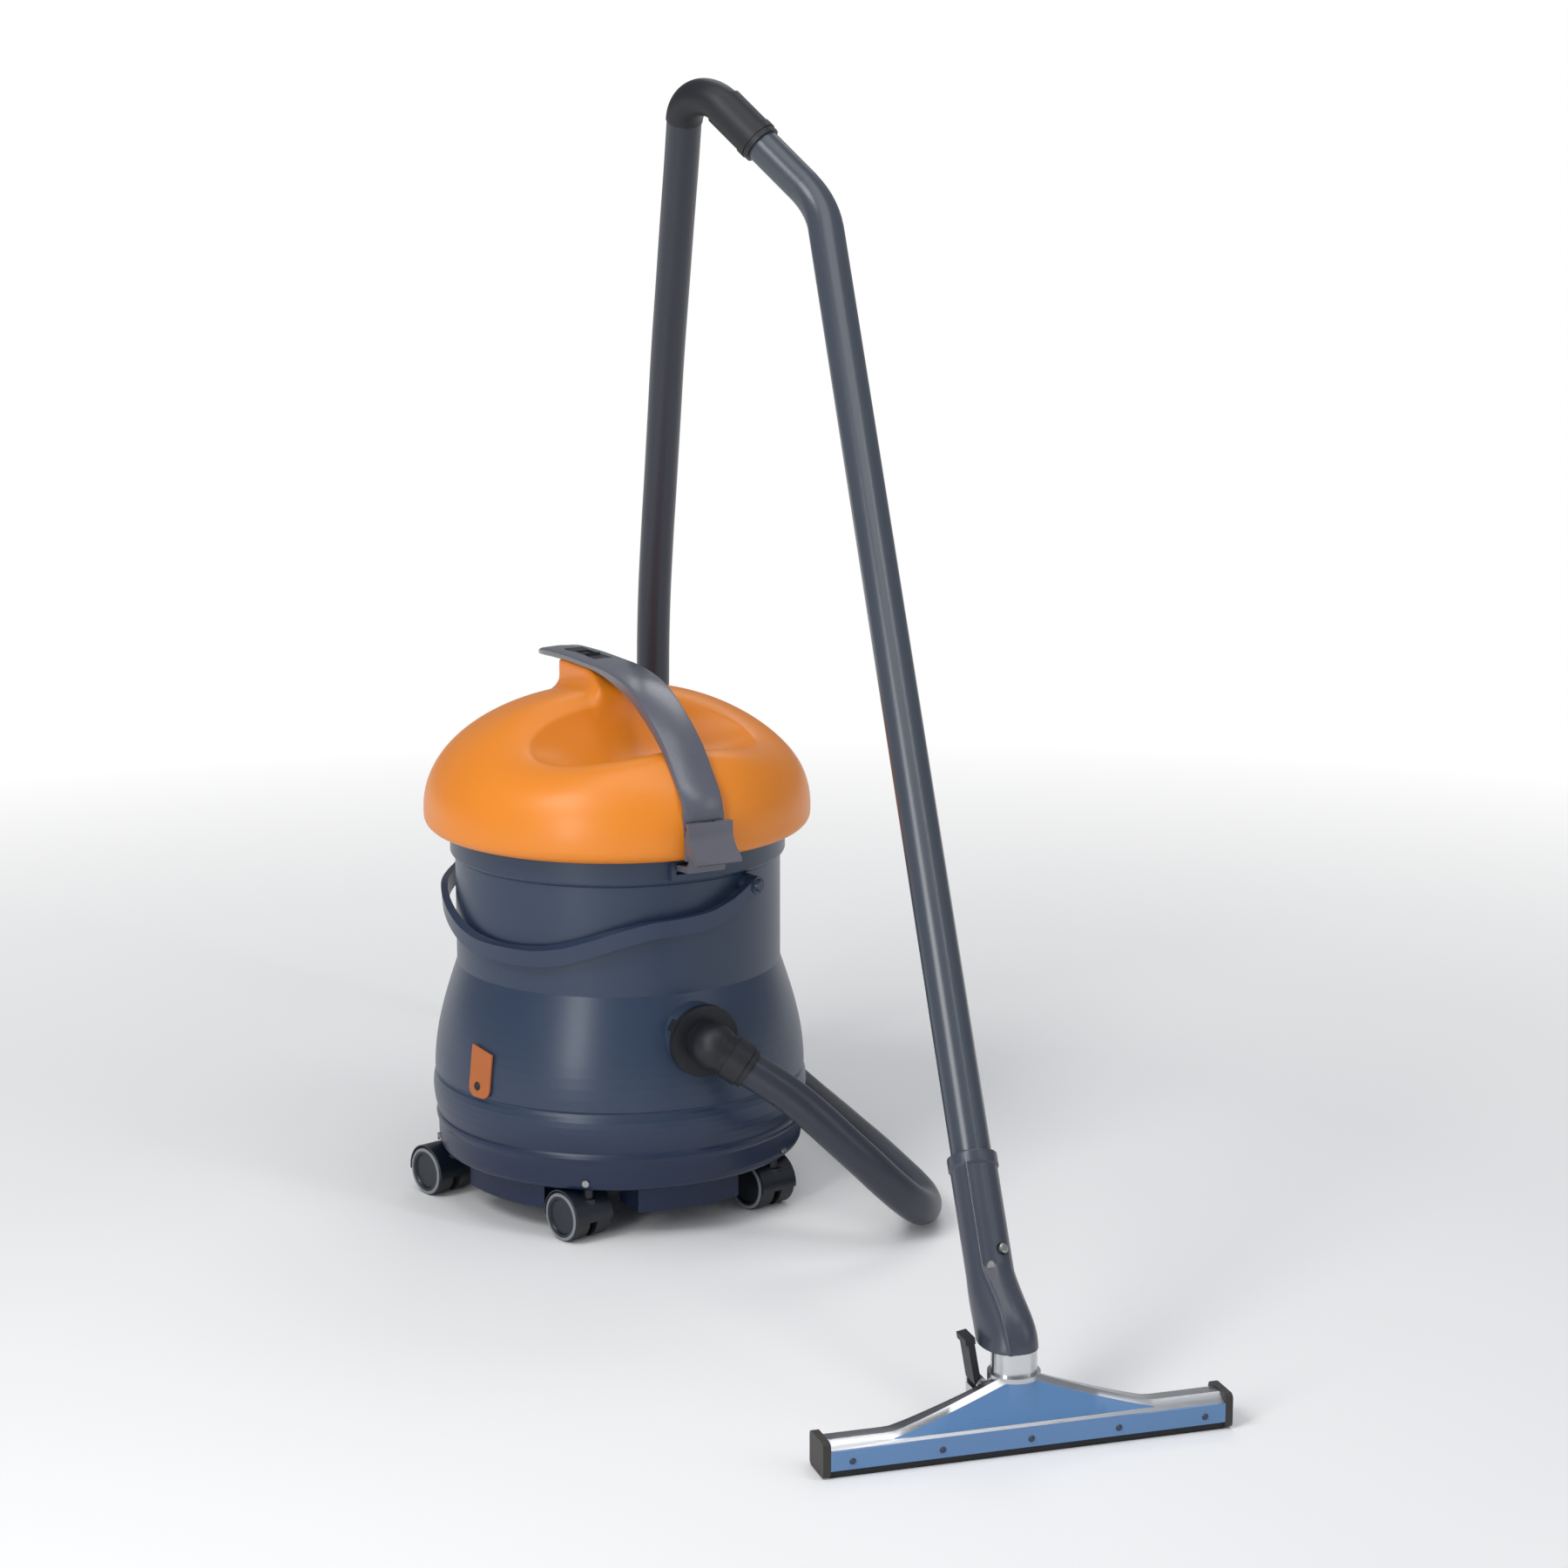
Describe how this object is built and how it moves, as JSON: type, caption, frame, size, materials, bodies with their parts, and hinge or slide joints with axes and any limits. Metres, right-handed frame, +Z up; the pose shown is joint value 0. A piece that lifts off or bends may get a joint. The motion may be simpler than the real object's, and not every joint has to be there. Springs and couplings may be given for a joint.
{
  "type": "wet-and-dry vacuum cleaner",
  "caption": "Wet-and-dry tub vacuum cleaner on castors with an orange domed motor head, hose, bent wand and wide squeegee floor tool",
  "frame": {"origin": "on the floor, below the middle of the bounding box of everything but the hose", "axes": "+Z up, +Y away from the front view, +X to the right of the front view"},
  "size_m": [0.7758, 1.1539, 1.1315],
  "materials": {
    "tub_plastic": "smooth moulded, satin gloss",
    "base_plastic": "moulded",
    "bail_plastic": "moulded",
    "steel": "zinc plated",
    "black_plastic": "fine grain",
    "rubber": "moulded",
    "hose_plastic": "smooth, slightly wavy wall",
    "wand_plastic": "satin",
    "grey_plastic": "fine grain",
    "aluminium": "die cast, polished edges",
    "blue_rail": "satin paint",
    "orange_plastic": "smooth moulded, glossy",
    "handle_plastic": "satin gloss",
    "latch_plastic": "satin gloss",
    "filter_fabric": "pleated paper",
    "copper_windings": "varnished windings",
    "float_plastic": "moulded",
    "castor_plastic": "moulded",
    "tyre_rubber": "smooth grey"
  },
  "bodies": {
    "tub_and_tool": {"tub": "tub_plastic", "castor_screws": "steel", "base_skirts": "base_plastic", "inlet_flange": "black_plastic", "inlet_deflector": "black_plastic", "hose_elbow": "black_plastic", "hose": "hose_plastic", "hose_top_elbow": "black_plastic", "wand": "wand_plastic", "tool_neck": "grey_plastic", "neck_screw": "steel", "tool_collar": "aluminium", "tool_body": "aluminium", "clamp_rail": "blue_rail", "clamp_screws": "steel", "front_squeegee": "rubber", "rear_squeegee": "rubber", "end_caps": "black_plastic", "lever_pin": "steel", "bail_pivots": "tub_plastic", "latch_catches": "tub_plastic", "tag_plate": "orange_plastic", "tag_rivet": "black_plastic"},
    "head": {"dome": "orange_plastic", "handle": "handle_plastic", "switch_bezel": "black_plastic", "rear_latch_bracket": "handle_plastic", "latch_pins": "steel", "head_plate": "black_plastic", "head_gasket": "rubber", "motor_housing": "grey_plastic", "motor_bearing": "steel", "cable_gland": "black_plastic", "filter_cage": "black_plastic", "pleated_filter": "filter_fabric"},
    "front_latch": {"front_latch": "latch_plastic"},
    "rear_latch": {"rear_latch": "latch_plastic"},
    "bail": {"bail": "bail_plastic"},
    "switch_rocker": {"switch_rocker": "black_plastic"},
    "rotor": {"motor_rotor": "copper_windings", "suction_fan": "aluminium"},
    "float": {"float": "float_plastic"},
    "release_lever": {"release_lever": "black_plastic"},
    "snap_button": {"snap_button": "steel"},
    "castor_1": {"castor_1": "castor_plastic"},
    "wheels_1": {"wheels_1": "castor_plastic", "tyres_1": "tyre_rubber"},
    "castor_2": {"castor_2": "castor_plastic"},
    "wheels_2": {"wheels_2": "castor_plastic", "tyres_2": "tyre_rubber"},
    "castor_3": {"castor_3": "castor_plastic"},
    "wheels_3": {"wheels_3": "castor_plastic", "tyres_3": "tyre_rubber"},
    "castor_4": {"castor_4": "castor_plastic"},
    "wheels_4": {"wheels_4": "castor_plastic", "tyres_4": "tyre_rubber"},
    "castor_5": {"castor_5": "castor_plastic"},
    "wheels_5": {"wheels_5": "castor_plastic", "tyres_5": "tyre_rubber"}
  },
  "joints": [
    {"name": "head_lift", "type": "slide", "parent": "tub_and_tool", "child": "head", "axis": [0, 0, 1], "range_m": [0, 0.25]},
    {"name": "front_latch_swing", "type": "hinge", "parent": "head", "child": "front_latch", "pos_m": [-0.07346, 0.09729, 0.424], "axis": [-0.8829, -0.4695, 0], "range_deg": [0, 70]},
    {"name": "rear_latch_swing", "type": "hinge", "parent": "head", "child": "rear_latch", "pos_m": [-0.26547, 0.45841, 0.424], "axis": [0.8829, 0.4695, 0], "range_deg": [0, 70]},
    {"name": "bail_swing", "type": "hinge", "parent": "tub_and_tool", "child": "bail", "pos_m": [-0.16946, 0.27785, 0.349], "axis": [-0.788, 0.6157, 0], "range_deg": [0, 20]},
    {"name": "switch_rock", "type": "hinge", "parent": "head", "child": "switch_rocker", "pos_m": [-0.20045, 0.33613, 0.547], "axis": [0.8829, 0.4695, 0], "range_deg": [0, 16]},
    {"name": "motor_spin", "type": "hinge", "parent": "head", "child": "rotor", "pos_m": [-0.16946, 0.27785, 0.42], "axis": [0, 0, 1], "continuous": true},
    {"name": "float_rise", "type": "slide", "parent": "head", "child": "float", "axis": [0, 0, 1], "range_m": [0, 0.11]},
    {"name": "castor_1_swivel", "type": "hinge", "parent": "tub_and_tool", "child": "castor_1", "pos_m": [-0.34279, 0.24729, 0.06], "axis": [0, 0, 1], "continuous": true},
    {"name": "castor_2_swivel", "type": "hinge", "parent": "tub_and_tool", "child": "castor_2", "pos_m": [-0.19396, 0.10356, 0.06], "axis": [0, 0, 1], "continuous": true},
    {"name": "castor_3_swivel", "type": "hinge", "parent": "tub_and_tool", "child": "castor_3", "pos_m": [-0.01127, 0.2007, 0.06], "axis": [0, 0, 1], "continuous": true},
    {"name": "castor_4_swivel", "type": "hinge", "parent": "tub_and_tool", "child": "castor_4", "pos_m": [-0.0472, 0.40446, 0.06], "axis": [0, 0, 1], "continuous": true},
    {"name": "castor_5_swivel", "type": "hinge", "parent": "tub_and_tool", "child": "castor_5", "pos_m": [-0.25209, 0.43325, 0.06], "axis": [0, 0, 1], "continuous": true},
    {"name": "wheels_1_roll", "type": "hinge", "parent": "castor_1", "child": "wheels_1", "pos_m": [-0.35329, 0.25937, 0.025], "axis": [-0.7547, -0.6561, 0], "continuous": true},
    {"name": "wheels_2_roll", "type": "hinge", "parent": "castor_2", "child": "wheels_2", "pos_m": [-0.20445, 0.11564, 0.025], "axis": [-0.7547, -0.6561, 0], "continuous": true},
    {"name": "wheels_3_roll", "type": "hinge", "parent": "castor_3", "child": "wheels_3", "pos_m": [-0.02177, 0.21277, 0.025], "axis": [-0.7547, -0.6561, 0], "continuous": true},
    {"name": "wheels_4_roll", "type": "hinge", "parent": "castor_4", "child": "wheels_4", "pos_m": [-0.0577, 0.41653, 0.025], "axis": [-0.7547, -0.6561, 0], "continuous": true},
    {"name": "wheels_5_roll", "type": "hinge", "parent": "castor_5", "child": "wheels_5", "pos_m": [-0.26259, 0.44533, 0.025], "axis": [-0.7547, -0.6561, 0], "continuous": true},
    {"name": "release_lever_press", "type": "hinge", "parent": "tub_and_tool", "child": "release_lever", "pos_m": [0.16569, -0.39467, 0.052], "axis": [0.3007, -0.9537, 0], "range_deg": [0, 12], "stiffness_Nm_per_rad": 0.4},
    {"name": "snap_button_press", "type": "slide", "parent": "tub_and_tool", "child": "snap_button", "axis": [-0.5794, 0.5944, -0.5577], "range_m": [0, 0.0025], "stiffness_N_per_m": 400}
  ]
}
